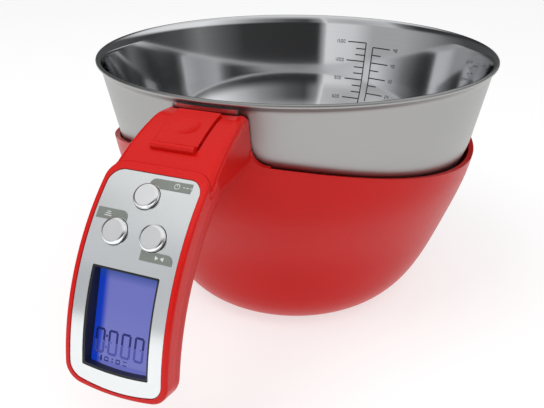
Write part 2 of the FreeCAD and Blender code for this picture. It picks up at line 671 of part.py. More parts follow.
# ---- buttons and what they press ------------------------------------------------
def make_button(place):
    cap = disc(BUTTON_RADIUS, -3.6, BUTTON_PROUD)
    top = [e for e in cap.Edges if abs(e.CenterOfMass.z - BUTTON_PROUD) < 0.01]
    cap = cap.makeFillet(1.2, top)
    flange = disc(BUTTON_RADIUS + 1.2, -4.4, -3.6)
    plunger = disc(1.6, -5.4, -4.4)
    return button_at(place, cap.fuse([flange, plunger]).removeSplitter())


def on_board(shape):
    angle = angle_at(BUTTON_BOARD_MIDDLE)
    return stood(shape, on_arc(0, angle), angle)


def switch_places():
    middle = angle_at(BUTTON_BOARD_MIDDLE)
    for x, length in BUTTONS.values():
        yield x, BUTTON_BOARD_TOP * math.tan(math.radians(angle_at(length) - middle))


def make_button_board():
    low = BUTTON_BOARD_TOP - BOARD_THICKNESS
    board = on_board(box(-HALF + 3.5, HALF - 3.5, -10.5, 16, low, BUTTON_BOARD_TOP))
    for side in (-1, 1):
        board = board.cut(at_screw(disc(HANDLE_BOSS + 0.3, 70, 90), side))
    return board


def make_tact_switches():
    top = BUTTON_BOARD_TOP + SWITCH_HEIGHT
    half = SWITCH_SIZE / 2
    solids = []
    for x, y in switch_places():
        body = box(x - half, x + half, y - half, y + half, BUTTON_BOARD_TOP, top)
        solids.append(on_board(body.fuse(disc(1.5, top, top + 0.3, x, y))))
    return Part.makeCompound(solids)


def make_label_tags():
    tags = []
    for x, length, width, height, side in TAGS:
        low = angle_at(length + height / 2)
        high = angle_at(length - height / 2)
        tag = arc_sector(FASCIA_RADIUS, FASCIA_RADIUS + TAG_THICKNESS, width / 2, low, high)
        corner = on_arc(FASCIA_RADIUS, high, side * width / 2)
        edges = [e for e in tag.Edges if e.CenterOfMass.distanceToPoint(corner) < TAG_THICKNESS]
        tag = tag.makeFillet(TAG_CORNER, edges)
        tag.translate(V(x, 0, 0))
        for place in BUTTONS.values():
            tag = tag.cut(button_at(place, disc(BUTTON_RADIUS + 2 * BUTTON_FIT, -8, 5)))
        tags.append(tag)
    return Part.makeCompound(tags)


# ---- display ----------------------------------------------------------------------
def at_display(shape):
    angle = angle_at(LCD_MIDDLE)
    return stood(shape, on_arc(0, angle), angle)


GLASS_BOTTOM = LCD_TOP - GLASS_THICKNESS
BOARD_TOP = GLASS_BOTTOM - BACKLIGHT_THICKNESS


def make_lcd_glass():
    return at_display(box(-LCD_HALF_WIDTH, LCD_HALF_WIDTH, -LCD_HALF_LENGTH, LCD_HALF_LENGTH,
                          GLASS_BOTTOM, LCD_TOP))


def make_lcd_backlight():
    return at_display(box(-LCD_HALF_WIDTH, LCD_HALF_WIDTH, -LCD_HALF_LENGTH + 3, LCD_HALF_LENGTH,
                          BOARD_TOP, GLASS_BOTTOM))


def make_zebra_strip():
    half = LCD_HALF_WIDTH - 1.8
    return at_display(box(-half, half, -LCD_HALF_LENGTH + 0.4, -LCD_HALF_LENGTH + 2.4,
                          BOARD_TOP, GLASS_BOTTOM))


def make_lcd_frame():
    """Dark frame around the display; its lip lines the window."""
    x = LCD_HALF_WIDTH + 0.1
    y = LCD_HALF_LENGTH + 0.1
    w = LCD_FRAME_WALL
    top = FASCIA_RADIUS - FASCIA_THICKNESS - FASCIA_FLOOR - 0.1
    wall = box(-x - w, x + w, -y - w, y + w, BOARD_TOP, top + 5)
    glass = box(-x, x, -y, y, 0, LCD_TOP + 0.05)
    wall = at_display(wall.cut(glass)).common(arc_cylinder(top, HALF))
    lip = window_prism(-LIP_FIT).common(arc_cylinder(FASCIA_RADIUS - LIP_BELOW, HALF))
    frame = wall.fuse(lip.cut(arc_cylinder(top - 1.0, HALF + 1))).removeSplitter()
    return frame.cut(window_prism(-LIP_FIT - LIP_WALL)).cut(at_display(glass))


def make_main_board():
    x = LCD_HALF_WIDTH + LCD_FRAME_WALL + 0.8
    y = LCD_HALF_LENGTH
    return at_display(box(-x, x, -y, y, BOARD_TOP - BOARD_THICKNESS, BOARD_TOP))


# ---- fasteners of the handle ---------------------------------------------------------
def at_screw(shape, side):
    angle = angle_at(HANDLE_SCREW_LENGTH)
    return stood(shape, on_arc(0, angle, side * HANDLE_SCREW_X), angle)


def screw_seat():
    """Distance of the rear face of the handle from the arc centre at its screws."""
    return FRONT_RADIUS - BACK_DEPTH_MIDDLE + 1.6


def make_handle_screws():
    seat = screw_seat()
    head = disc(2.4, seat - 1.4, seat)
    shank = disc(COVER_SCREW_RADIUS, seat, FRONT_RADIUS - 2.8)
    screw = head.fuse(shank)
    screw = screw.cut(box(-1.8, 1.8, -0.35, 0.35, seat - 2, seat - 0.8))
    screw = screw.cut(box(-0.35, 0.35, -1.8, 1.8, seat - 2, seat - 0.8))
    return Part.makeCompound([at_screw(screw, side) for side in (-1, 1)])


# ---- base cover, feet and battery -------------------------------------------------------
def foot_places():
    reach = FOOT_CIRCLE * math.sqrt(0.5)
    return [(x, y) for x in (-reach, reach) for y in (-reach, reach)]


def cell_screw_places(side):
    return [side * CELL_SCREW_INNER, side * CELL_SCREW_OUTER]


def make_base_cover():
    cover = disc(COVER_RADIUS, SHELL_BOTTOM, COVER_TOP)
    half = BOSS_WIDTH / 2
    cover = cover.fuse(box(-CELL_LENGTH / 2, -CELL_SCREW_INNER + 5.5, -half, half, COVER_TOP, CELL_BOTTOM))
    cover = cover.fuse(disc(CAP_RADIUS + CUP_WALL, COVER_TOP, COVER_TOP + 3.4, 0, CAP_Y)).removeSplitter()
    cover = cover.cut(disc(CAP_RADIUS + RUN_FIT, SHELL_BOTTOM - 1, COVER_TOP, 0, CAP_Y))
    cover = cover.cut(disc(COIN_RADIUS + 0.3, COVER_TOP - 1, COVER_TOP + 5, 0, CAP_Y))
    groove = disc(CAP_RADIUS + CAP_TAB + 0.3, cap_tab_low() - 0.1, COVER_TOP - 0.001, 0, CAP_Y)
    cover = cover.cut(groove)
    cover = cover.cut(cap_tabs(0.4, SHELL_BOTTOM - 1, 60))
    head_top = SHELL_BOTTOM + COVER_HEAD_HEIGHT
    for x, y in cover_screw_places():
        cover = cover.cut(disc(COVER_SCREW_RADIUS + 0.2, SHELL_BOTTOM - 1, COVER_TOP + 1, x, y))
        cover = cover.cut(disc(COVER_HEAD_RADIUS + 0.2, SHELL_BOTTOM - 1, head_top, x, y))
    for x, y in foot_places():
        cover = cover.cut(disc(FOOT_RADIUS + 0.05, SHELL_BOTTOM - 1, SHELL_BOTTOM + FOOT_SEAT, x, y))
    for x in cell_screw_places(-1):
        cover = cover.cut(disc(SCREW_RADIUS + 0.1, SHELL_BOTTOM - 1, CELL_BOTTOM + 1, x))
        cover = cover.cut(disc(CELL_HEAD_RADIUS + 0.3, SHELL_BOTTOM - 1, cell_head_seat(), x))
    return cover


def cell_head_seat():
    return SHELL_BOTTOM + 8.0


def cap_tab_low():
    return SHELL_BOTTOM + CAP_THICKNESS - CAP_TAB_THICKNESS


def cap_tabs(extra, low, turn):
    """Three bayonet tabs of the battery cap."""
    radius = CAP_RADIUS + CAP_TAB + (0.3 if extra else 0.0)
    ring = disc(radius, low, SHELL_BOTTOM + CAP_THICKNESS)
    half = 3.0 + extra
    tabs = []
    for k in range(3):
        bar = box(0, radius + 2, -half, half, low - 1, COVER_TOP + 1)
        bar.rotate(V(0, 0, 0), UP, 120 * k + turn + 30)
        tabs.append(ring.common(bar))
    tabs = tabs[0].fuse(tabs[1:])
    tabs.translate(V(0, CAP_Y, 0))
    return tabs


def make_battery_cap():
    cap = disc(CAP_RADIUS, SHELL_BOTTOM, SHELL_BOTTOM + CAP_THICKNESS, 0, CAP_Y)
    cap = cap.fuse(cap_tabs(0.0, cap_tab_low(), 0)).removeSplitter()
    boss = disc(COIN_RADIUS - 1, SHELL_BOTTOM + CAP_THICKNESS, COVER_TOP - 0.1, 0, CAP_Y)
    cap = cap.fuse(boss).removeSplitter()
    return cap.cut(box(-9, 9, CAP_Y - 1.0, CAP_Y + 1.0, SHELL_BOTTOM - 1, SHELL_BOTTOM + 1.2))


def make_coin_cell():
    can = disc(COIN_RADIUS, COVER_TOP + 0.1, COVER_TOP + 0.1 + COIN_THICKNESS, 0, CAP_Y)
    rim = [e for e in can.Edges if abs(e.CenterOfMass.z - COVER_TOP - 0.1) < 0.01]
    return can.makeChamfer(0.4, rim)


def make_battery_contacts():
    z = COVER_TOP + 3.4
    strip = box(-2.5, 2.5, CAP_Y - 9, CAP_Y + 9, z, z + 0.3)
    side = box(-2, 2, CAP_Y - CAP_RADIUS - 3.0, CAP_Y - COIN_RADIUS - 0.5, z, z + 0.3)
    return Part.makeCompound([strip, side])


def make_battery_roof():
    z = COVER_TOP + 3.7
    return disc(CAP_RADIUS + CUP_WALL, z, z + 1.2, 0, CAP_Y)


def make_cover_screws():
    screws = []
    for x, y in cover_screw_places():
        head = disc(COVER_HEAD_RADIUS, SHELL_BOTTOM + 0.1, SHELL_BOTTOM + COVER_HEAD_HEIGHT, x, y)
        shank = disc(COVER_SCREW_RADIUS, SHELL_BOTTOM + COVER_HEAD_HEIGHT, FLOOR_TOP - 0.7, x, y)
        slot = box(x - 1.7, x + 1.7, y - 0.35, y + 0.35, SHELL_BOTTOM - 1, SHELL_BOTTOM + 0.8)
        cross = box(x - 0.35, x + 0.35, y - 1.7, y + 1.7, SHELL_BOTTOM - 1, SHELL_BOTTOM + 0.8)
        screws.append(head.fuse(shank).removeSplitter().cut(slot).cut(cross))
    return Part.makeCompound(screws)


def make_feet():
    feet = []
    for x, y in foot_places():
        foot = disc(FOOT_RADIUS, 0, SHELL_BOTTOM + FOOT_SEAT, x, y)
        sole = [e for e in foot.Edges if abs(e.CenterOfMass.z) < 0.01]
        feet.append(foot.makeFillet(0.6, sole))
    return Part.makeCompound(feet)


# ---- weighing works -----------------------------------------------------------------------
CELL_TOP = CELL_BOTTOM + CELL_SECTION


def make_load_cell():
    """Aluminium bar with the twin bore that lets it bend."""
    half = CELL_SECTION / 2
    bar = box(-CELL_LENGTH / 2, CELL_LENGTH / 2, -half, half, CELL_BOTTOM, CELL_TOP)
    middle = CELL_BOTTOM + half
    for x in (-6, 6):
        bar = bar.cut(Part.makeCylinder(4.6, CELL_SECTION + 2, V(x, -half - 1, middle), V(0, 1, 0)))
    bar = bar.cut(box(-6, 6, -half - 1, half + 1, middle - 1.5, middle + 1.5))
    for x in cell_screw_places(-1):
        bar = bar.cut(disc(SCREW_RADIUS + 0.1, CELL_BOTTOM - 1, CELL_BOTTOM + 9, x))
    for x in cell_screw_places(1):
        bar = bar.cut(disc(SCREW_RADIUS + 0.1, CELL_TOP - 10, CELL_TOP + 1, x))
    return bar


def make_cell_base_screws():
    seat = cell_head_seat()
    screws = []
    for x in cell_screw_places(-1):
        screw = disc(CELL_HEAD_RADIUS, seat - CELL_HEAD_HEIGHT, seat, x)
        screws.append(screw.fuse(disc(SCREW_RADIUS, seat, CELL_BOTTOM + 8, x)).removeSplitter())
    return Part.makeCompound(screws)


def make_platform():
    """Plate under the bowl, carried on the free end of the load cell."""
    half = BOSS_WIDTH / 2
    low = BOWL_BOTTOM - PLATFORM_THICKNESS
    plate = disc(PLATFORM_RADIUS, low, BOWL_BOTTOM)
    boss = box(CELL_SCREW_INNER - 5.5, CELL_LENGTH / 2, -half, half, CELL_TOP + PLATFORM_TRAVEL + 0.1, low)
    plate = plate.fuse(boss.common(disc(PLATFORM_RADIUS + 1.5, 0, low))).removeSplitter()
    seat = platform_screw_seat()
    for x in cell_screw_places(1):
        plate = plate.cut(disc(SCREW_RADIUS + 0.1, 0, BOWL_BOTTOM + 1, x))
        plate = plate.cut(disc(CELL_HEAD_RADIUS + 0.2, seat, BOWL_BOTTOM + 1, x))
    return plate


def platform_screw_seat():
    return BOWL_BOTTOM - CELL_HEAD_HEIGHT - 0.2


def make_platform_screws():
    seat = platform_screw_seat()
    screws = []
    for x in cell_screw_places(1):
        screw = disc(CELL_HEAD_RADIUS, seat, seat + CELL_HEAD_HEIGHT, x)
        screws.append(screw.fuse(disc(SCREW_RADIUS, CELL_TOP - 9, seat, x)).removeSplitter())
    return Part.makeCompound(screws)


def wall_skin(depth):
    """Loft that follows the base's inside at a depth below its surface."""
    return base_loft(SHELL_WALL - depth, FLEX_LOW - 3, FLEX_HIGH + 4, 12)


def flex_zone(extra):
    """Where the flat cable runs down the inside of the base."""
    half = FLEX_WIDTH / 2 + extra
    return box(-half, half, -BEYOND, -20, FLEX_LOW - extra, FLEX_HIGH + extra)


def make_flex_cable():
    half = FLEX_WIDTH / 2
    groove = wall_skin(FLEX_THICKNESS + 0.1)
    inner = wall_skin(0.1)
    wall_run = groove.cut(inner).common(flex_zone(0.0))
    low_y = -flare(FLEX_LOW) - 5
    low = box(-half, half, low_y, -CELL_SECTION / 2 - 0.3, FLEX_LOW - 0.01, FLEX_LOW + FLEX_THICKNESS)
    low = low.common(groove)
    high_y = -bowl_radius(FLEX_HIGH) - 22
    high = box(-half, half, high_y, 0, FLEX_HIGH - FLEX_THICKNESS, FLEX_HIGH).cut(inner)
    return wall_run.fuse([low, high]).removeSplitter()


NODES = [
    ("bowl", make_bowl),
    ("bowl_bracket", make_bracket),
    ("outer_shell", make_outer_shell),
    ("handle_front", make_handle_front),
    ("fascia", make_fascia),
    ("label_tags", make_label_tags),
    ("latch_button", make_latch_button),
    ("latch_hook", make_latch_hook),
    ("latch_spring", make_latch_spring),
    ("button_board", make_button_board),
    ("tact_switches", make_tact_switches),
    ("lcd_glass", make_lcd_glass),
    ("lcd_backlight", make_lcd_backlight),
    ("lcd_frame", make_lcd_frame),
    ("zebra_strip", make_zebra_strip),
    ("main_board", make_main_board),
    ("handle_screws", make_handle_screws),
    ("base_cover", make_base_cover),
    ("cover_screws", make_cover_screws),
    ("rubber_feet", make_feet),
    ("battery_cap", make_battery_cap),
    ("coin_cell", make_coin_cell),
    ("battery_contacts", make_battery_contacts),
    ("battery_roof", make_battery_roof),
    ("load_cell", make_load_cell),
    ("load_cell_screws", make_cell_base_screws),
    ("platform", make_platform),
    ("platform_screws", make_platform_screws),
    ("flex_cable", make_flex_cable),
]


def main():
    os.makedirs("parts", exist_ok=True)
    for name, make in NODES:
        export(name, make())
    for name, place in BUTTONS.items():
        export(name, make_button(place))


main()
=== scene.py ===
"""Kitchen scale: finishes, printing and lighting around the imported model."""
import json
import math

import bmesh
import bpy
from mathutils import Matrix, Vector


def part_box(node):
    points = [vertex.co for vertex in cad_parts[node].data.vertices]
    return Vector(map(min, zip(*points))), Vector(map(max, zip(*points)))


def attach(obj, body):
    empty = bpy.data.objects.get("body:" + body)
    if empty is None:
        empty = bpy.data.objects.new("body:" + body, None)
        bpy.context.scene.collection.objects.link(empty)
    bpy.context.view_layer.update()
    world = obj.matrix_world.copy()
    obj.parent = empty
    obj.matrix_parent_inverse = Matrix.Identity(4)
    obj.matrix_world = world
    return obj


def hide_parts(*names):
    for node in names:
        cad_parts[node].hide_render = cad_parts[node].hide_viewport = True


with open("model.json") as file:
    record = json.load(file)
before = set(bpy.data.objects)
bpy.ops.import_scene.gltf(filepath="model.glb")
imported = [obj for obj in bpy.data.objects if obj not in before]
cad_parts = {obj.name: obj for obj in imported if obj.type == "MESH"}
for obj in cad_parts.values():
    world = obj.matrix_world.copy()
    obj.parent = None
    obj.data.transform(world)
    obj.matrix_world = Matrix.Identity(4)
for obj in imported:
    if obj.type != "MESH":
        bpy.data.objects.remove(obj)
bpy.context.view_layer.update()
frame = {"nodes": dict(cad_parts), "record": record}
nodes = frame["nodes"]

# ---- places read from the frame -------------------------------------------
joints = {joint["name"]: joint for joint in frame["record"]["behaviour"]["joints"]}
ARC_CENTRE = Vector(joints["latch_slide"]["pos_m"])
RIM_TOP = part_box("bowl")[1][2]
RIM_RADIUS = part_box("bowl")[1][0]
BOWL_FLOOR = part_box("bowl")[0][2]

# ---- sizes of the steel bowl -------------------------------------------------
TAPER = 0.2                   # radius lost per unit of depth
LIP = 0.001                   # radius of the rolled lip
STEEL = 0.0008                # thickness
CORNER = 0.066                # curve from wall to floor
WALL_TOP = RIM_RADIUS - 1.5 * LIP

# ---- sizes on the fascia -----------------------------------------------------
FASCIA_RADIUS = 0.0929        # from the arc's centre
DATUM_ANGLE = 52.2            # lengths down the fascia start here
GLASS_RADIUS = 0.0871
GLASS_MIDDLE = 0.0531


# ---- node helpers --------------------------------------------------------------
def finish(name, colour, roughness, metallic=0.0):
    """A new material with its main shader, ready for detail."""
    mat = bpy.data.materials.new(name)
    mat.use_nodes = True
    shader = mat.node_tree.nodes["Principled BSDF"]
    shader.inputs["Base Color"].default_value = (*colour, 1.0)
    shader.inputs["Roughness"].default_value = roughness
    shader.inputs["Metallic"].default_value = metallic
    return mat, shader


def add(mat, kind, **settings):
    node = mat.node_tree.nodes.new(kind)
    for key, value in settings.items():
        setattr(node, key, value)
    return node


def join(mat, out, into):
    mat.node_tree.links.new(out, into)


def place_of(mat, scale=(1, 1, 1), turn=(0, 0, 0), move=(0, 0, 0)):
    """Object coordinates, scaled, turned and moved."""
    coords = add(mat, "ShaderNodeTexCoord")
    mapping = add(mat, "ShaderNodeMapping")
    mapping.inputs["Scale"].default_value = scale
    mapping.inputs["Rotation"].default_value = turn
    mapping.inputs["Location"].default_value = move
    join(mat, coords.outputs["Object"], mapping.inputs["Vector"])
    return mapping.outputs["Vector"]


def grain(mat, scale, detail=3.0, stretch=(1, 1, 1)):
    noise = add(mat, "ShaderNodeTexNoise")
    noise.inputs["Scale"].default_value = scale
    noise.inputs["Detail"].default_value = detail
    join(mat, place_of(mat, stretch), noise.inputs["Vector"])
    return noise.outputs["Fac"]


def spread(mat, value, low, high, start=0.3, end=0.7):
    """Map a pattern onto a range of numbers."""
    ramp = add(mat, "ShaderNodeMapRange")
    ramp.inputs["From Min"].default_value = start
    ramp.inputs["From Max"].default_value = end
    ramp.inputs["To Min"].default_value = low
    ramp.inputs["To Max"].default_value = high
    join(mat, value, ramp.inputs["Value"])
    return ramp.outputs["Result"]


def tint(mat, value, dark, light, start=0.3, end=0.7):
    """Map a pattern onto two colours."""
    ramp = add(mat, "ShaderNodeValToRGB")
    ramp.color_ramp.elements[0].position = start
    ramp.color_ramp.elements[0].color = (*dark, 1.0)
    ramp.color_ramp.elements[1].position = end
    ramp.color_ramp.elements[1].color = (*light, 1.0)
    join(mat, value, ramp.inputs["Fac"])
    return ramp.outputs["Color"]


def relief(mat, shader, height, strength, distance):
    bump = add(mat, "ShaderNodeBump")
    bump.inputs["Strength"].default_value = strength
    bump.inputs["Distance"].default_value = distance
    join(mat, height, bump.inputs["Height"])
    join(mat, bump.outputs["Normal"], shader.inputs["Normal"])


# ---- finishes --------------------------------------------------------------------
def red_moulding(name, colour, roughness):
    """Red plastic with cloudy gloss and the finest moulded ripple."""
    mat, shader = finish(name, colour, roughness)
    cloud = grain(mat, 35.0)
    darker = tuple(c * 0.95 for c in colour)
    join(mat, tint(mat, cloud, darker, colour), shader.inputs["Base Color"])
    fine = grain(mat, 350.0, 3.0)
    join(mat, spread(mat, fine, roughness - 0.01, roughness + 0.02), shader.inputs["Roughness"])
    relief(mat, shader, grain(mat, 450.0, 2.0), 0.02, 0.00002)
    shader.inputs["Specular IOR Level"].default_value = 0.22
    return mat


def spun_steel(name, colour, roughness, strength):
    """Steel with fine lines that run round the bowl."""
    mat, shader = finish(name, colour, roughness, 1.0)
    lines = grain(mat, 1.0, 4.0, (12, 12, 2200))
    join(mat, spread(mat, lines, roughness * 0.92, roughness * 1.08), shader.inputs["Roughness"])
    darker = tuple(c * 0.96 for c in colour)
    join(mat, tint(mat, lines, darker, colour), shader.inputs["Base Color"])
    relief(mat, shader, lines, strength, 0.00001)
    return mat


def bright_metal(name, colour, roughness):
    """Plated or turned metal with faint rubbing marks."""
    mat, shader = finish(name, colour, roughness, 1.0)
    marks = grain(mat, 90.0, 3.0, (1, 2, 1))
    join(mat, spread(mat, marks, roughness, roughness + 0.03), shader.inputs["Roughness"])
    join(mat, tint(mat, marks, tuple(c * 0.95 for c in colour), colour), shader.inputs["Base Color"])
    return mat


def silver_paint(name):
    """Silvery plated plastic of the fascia."""
    mat, shader = finish(name, (0.60, 0.63, 0.65), 0.16, 0.9)
    flakes = grain(mat, 5200.0, 2.0)
    join(mat, spread(mat, flakes, 0.15, 0.20), shader.inputs["Roughness"])
    join(mat, tint(mat, flakes, (0.80, 0.83, 0.84), (0.84, 0.87, 0.88)), shader.inputs["Base Color"])
    relief(mat, shader, flakes, 0.02, 0.00001)
    shader.inputs["Coat Weight"].default_value = 0.4
    shader.inputs["Coat Roughness"].default_value = 0.08
    return mat


def plain_moulding(name, colour, roughness, scale=1600.0):
    """Unpainted plastic or rubber with a spark-eroded texture."""
    mat, shader = finish(name, colour, roughness)
    pits = grain(mat, scale, 3.0)
    join(mat, tint(mat, pits, tuple(c * 0.8 for c in colour), colour), shader.inputs["Base Color"])
    join(mat, spread(mat, pits, roughness - 0.06, roughness + 0.06), shader.inputs["Roughness"])
    relief(mat, shader, pits, 0.25, 0.0001)
    return mat


def lit_display(name):
    """Backlit blue screen, with a painted shadow of the frame: a deeper blue along its left side and its top.
    """
    mat, shader = finish(name, (0.01, 0.015, 0.04), 0.12)
    split = add(mat, "ShaderNodeSeparateXYZ")
    join(mat, place_of(mat), split.inputs["Vector"])
    # Painted shadow of the frame: the glow turns a deeper blue in a strip along the left side and in a strip
    # along the top.
    side = spread(mat, split.outputs["X"], 0.0, 1.0, -0.0108, -0.0082)
    left_shadowed_glow = blend(mat, side, (0.0, 0.030, 0.42), (0.130, 0.140, 0.45))
    top_shadow_fade = spread(mat, along_screen(mat), 1.0, 0.0, 0.0135, 0.0180)
    shade = add(mat, "ShaderNodeMix", data_type="RGBA")
    shade.inputs["A"].default_value = (0.012, 0.050, 0.26, 1.0)
    join(mat, top_shadow_fade, shade.inputs["Factor"])
    join(mat, left_shadowed_glow, shade.inputs["B"])
    join(mat, shade.outputs["Result"], shader.inputs["Emission Color"])
    shader.inputs["Emission Strength"].default_value = 1.0
    return mat


def blend(mat, value, first, second):
    """Straight mix of two colours."""
    return tint(mat, value, first, second, 0.0, 1.0)


def along_screen(mat):
    """Distance up the screen from its middle."""
    angle = math.radians(display_angle())
    middle = on_display(0, 0, GLASS_RADIUS)
    up = Vector((0, math.sin(angle), math.cos(angle)))
    dot = add(mat, "ShaderNodeVectorMath", operation="DOT_PRODUCT")
    join(mat, place_of(mat, move=tuple(-middle)), dot.inputs[0])
    dot.inputs[1].default_value = up
    return dot.outputs["Value"]


def printed(name, colour):
    """Ink with the slight unevenness of a print."""
    mat, shader = finish(name, colour, 0.5)
    ink = grain(mat, 3000.0, 2.0)
    join(mat, tint(mat, ink, tuple(c * 0.85 for c in colour), colour), shader.inputs["Base Color"])
    return mat


# ---- places on the handle ------------------------------------------------------------
def angle_at(length):
    return DATUM_ANGLE - math.degrees(length / FASCIA_RADIUS)


def display_angle():
    return angle_at(GLASS_MIDDLE)


def on_display(x, y, height):
    """A place on the flat display: x across, y up the screen from its middle."""
    a = math.radians(display_angle())
    out = Vector((0, -math.cos(a), math.sin(a)))
    up = Vector((0, math.sin(a), math.cos(a)))
    return ARC_CENTRE + out * height + up * y + Vector((x, 0, 0))


def stand_on(angle, height, x=0.0, y=0.0):
    """Matrix that stands a drawing, +Z outward and +Y up the handle, on the arc."""
    a = math.radians(angle)
    out = Vector((0, -math.cos(a), math.sin(a)))
    up = Vector((0, math.sin(a), math.cos(a)))
    origin = ARC_CENTRE + out * height + up * y + Vector((x, 0, 0))
    return Matrix(((1, 0, 0, origin.x), (0, up.y, out.y, origin.y), (0, up.z, out.z, origin.z), (0, 0, 0, 1)))


# ---- mesh helpers ------------------------------------------------------------------------
def piece(name, mesh_maker, body, slot, *mats):
    """Turn a bmesh into a finished object that rides on a body."""
    bm = bmesh.new()
    mesh_maker(bm)
    mesh = bpy.data.meshes.new(name)
    bm.to_mesh(mesh)
    bm.free()
    for mat in mats:
        mesh.materials.append(mat)
    obj = bpy.data.objects.new(name, mesh)
    bpy.context.scene.collection.objects.link(obj)
    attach(obj, body)
    return obj


def bowl_section(inset):
    """Points of the bowl's section from its axis up to the lip."""
    tilt = math.atan(TAPER)
    corner = CORNER - inset
    level = BOWL_FLOOR + CORNER
    tangent = level - corner * math.sin(tilt)
    edge = WALL_TOP + TAPER * (tangent - RIM_TOP) - inset / math.cos(tilt)
    centre = edge - corner * math.cos(tilt)
    points = [Vector((0.0, 0, BOWL_FLOOR + inset)), Vector((centre * 0.5, 0, BOWL_FLOOR + inset))]
    steps = 28
    for i in range(steps + 1):
        turn = (math.pi / 2 - tilt) * i / steps
        points.append(Vector((centre + corner * math.sin(turn), 0, level - corner * math.cos(turn))))
    for i in range(1, 9):
        z = tangent + (RIM_TOP - LIP - tangent) * i / 8
        points.append(Vector((WALL_TOP + TAPER * (z - RIM_TOP) - inset / math.cos(tilt), 0, z)))
    return points


def shape_bowl(bm):
    outside = bowl_section(0.0)
    inside = bowl_section(STEEL)
    centre = Vector((RIM_RADIUS - LIP, 0, RIM_TOP - LIP))
    lip = []
    for i in range(15):
        turn = math.radians(-115 + 250 * i / 14)
        lip.append(centre + Vector((math.cos(turn), 0, math.sin(turn))) * LIP)
    outline = outside[:-1] + lip + inside[::-1]
    verts = [bm.verts.new(p) for p in outline]
    edges = [bm.edges.new((a, b)) for a, b in zip(verts, verts[1:])]
    bmesh.ops.spin(bm, geom=verts + edges, cent=(0, 0, 0), axis=(0, 0, 1), angle=2 * math.pi,
                   steps=200, use_merge=True, use_duplicate=False)
    bmesh.ops.remove_doubles(bm, verts=bm.verts, dist=1e-6)
    bmesh.ops.recalc_face_normals(bm, faces=bm.faces)
    for face in bm.faces:
        face.smooth = True
        middle = face.calc_center_median()
        reach = math.hypot(middle.x, middle.y)
        face.material_index = 1 if face.normal.dot(Vector((middle.x, middle.y, 0))) < 0 or (
            face.normal.z > 0.5 and reach < WALL_TOP) else 0


# ---- printing ------------------------------------------------------------------------------
INK = 0.00006                 # thickness of printed marks
MARK_LINE = 0.0007            # width of a volume mark
METRIC_SPINE = 173.8          # turns from the handle of the two upright lines, in degrees
OUNCE_SPINE = 170.9
METRIC_TOP = 0.0146           # depth of the first mark below the rim
METRIC_STEP = 0.00375
OUNCE_TOP = 0.0168
OUNCE_STEP = 0.00463
NUMERAL = (0.0012, 0.0022, 0.00034, 0.0004)    # width, height, line and gap
SEGMENTS = {"0": "abcdef", "1": "bc", "2": "abged", "3": "abgcd", "4": "fgbc", "5": "afgcd",
            "6": "afgedc", "8": "abcdefg", "9": "abcdfg"}


def bar(bm, matrix, x, y, width, height):
    """Thin flat bar in a drawing that is +X across and +Y up."""
    size = Matrix.Diagonal((width, height, INK, 1))
    bmesh.ops.create_cube(bm, size=1.0, matrix=matrix @ Matrix.Translation((x, y, INK / 2)) @ size)


def segments(width, height, line):
    """Middle and size of each bar of a seven-bar numeral."""
    x = (width - line) / 2
    y = (height - line) / 4
    tall = y * 2 - line * 0.4
    flat = width - line * 1.2
    return {"a": (0, 2 * y, flat, line), "g": (0, 0, flat, line), "d": (0, -2 * y, flat, line),
            "f": (-x, y, line, tall), "b": (x, y, line, tall),
            "e": (-x, -y, line, tall), "c": (x, -y, line, tall)}


def numeral(bm, matrix, text, width, height, line, gap):
    """Row of numerals, centred on the drawing's origin."""
    bars = segments(width, height, line)
    start = -(len(text) - 1) * (width + gap) / 2
    for place, sign in enumerate(text):
        for key in SEGMENTS[sign]:
            x, y, wide, tall = bars[key]
            bar(bm, matrix, start + place * (width + gap) + x, y, wide, tall)


def on_wall(turn, depth):
    """Matrix on the bowl's inside wall, a turn from the handle and a depth below the rim."""
    a = math.radians(turn)
    z = RIM_TOP - depth
    tilt = math.atan(TAPER)
    level = BOWL_FLOOR + CORNER
    bend = level - CORNER * math.sin(tilt)
    reach = WALL_TOP + TAPER * (z - RIM_TOP) - STEEL / math.cos(tilt)
    if z < bend:
        centre = WALL_TOP + TAPER * (bend - RIM_TOP) - CORNER * math.cos(tilt)
        tilt = math.asin((level - z) / (CORNER - STEEL))
        reach = centre + (CORNER - STEEL) * math.cos(tilt)
    outward = Vector((math.sin(a), -math.cos(a), 0))
    up = outward * math.sin(tilt) + Vector((0, 0, math.cos(tilt)))
    across = Vector((-math.cos(a), -math.sin(a), 0))
    inward = across.cross(up)
    origin = outward * reach + Vector((0, 0, z))
    return Matrix.Translation(origin) @ Matrix((across, up, inward)).transposed().to_4x4()


def wall_bar(bm, first, last, depth):
    """Mark that follows the wall round from one turn to another, in short lengths."""
    count = max(1, round(abs(last - first) / 1.2))
    step = (last - first) / count
    width = math.radians(abs(step)) * RIM_RADIUS
    for i in range(count):
        bar(bm, on_wall(first + step * (i + 0.5), depth), 0, 0, width, MARK_LINE)


def spine(bm, turn, depth, length):
    """Upright line down the wall, in short pieces that follow its curve."""
    for i in range(4):
        step = length / 4
        bar(bm, on_wall(turn, depth + (i + 0.5) * step), 0, 0, MARK_LINE, step * 1.1)


def volume_marks(bm):
    """Two upright scales: millilitres on the left, ounces on the right."""
    for i in range(10):
        depth = METRIC_TOP + i * METRIC_STEP
        wall_bar(bm, METRIC_SPINE, 181.0 if i % 3 == 0 else 177.6, depth)
        spine(bm, METRIC_SPINE, depth, METRIC_STEP)
    for i in range(7):
        depth = OUNCE_TOP + i * OUNCE_STEP
        wall_bar(bm, OUNCE_SPINE, 163.7 if i % 2 == 0 else 167.2, depth)
        spine(bm, OUNCE_SPINE, depth, OUNCE_STEP)


def volume_numbers(bm):
    for i, text in enumerate(("1500", "1200", "900", "600")):
        numeral(bm, on_wall(184.0, METRIC_TOP + 3 * i * METRIC_STEP), text, *NUMERAL)
    for i, text in enumerate(("48", "40", "32", "24")):
        numeral(bm, on_wall(161.4, OUNCE_TOP + 2 * i * OUNCE_STEP), text, *NUMERAL)


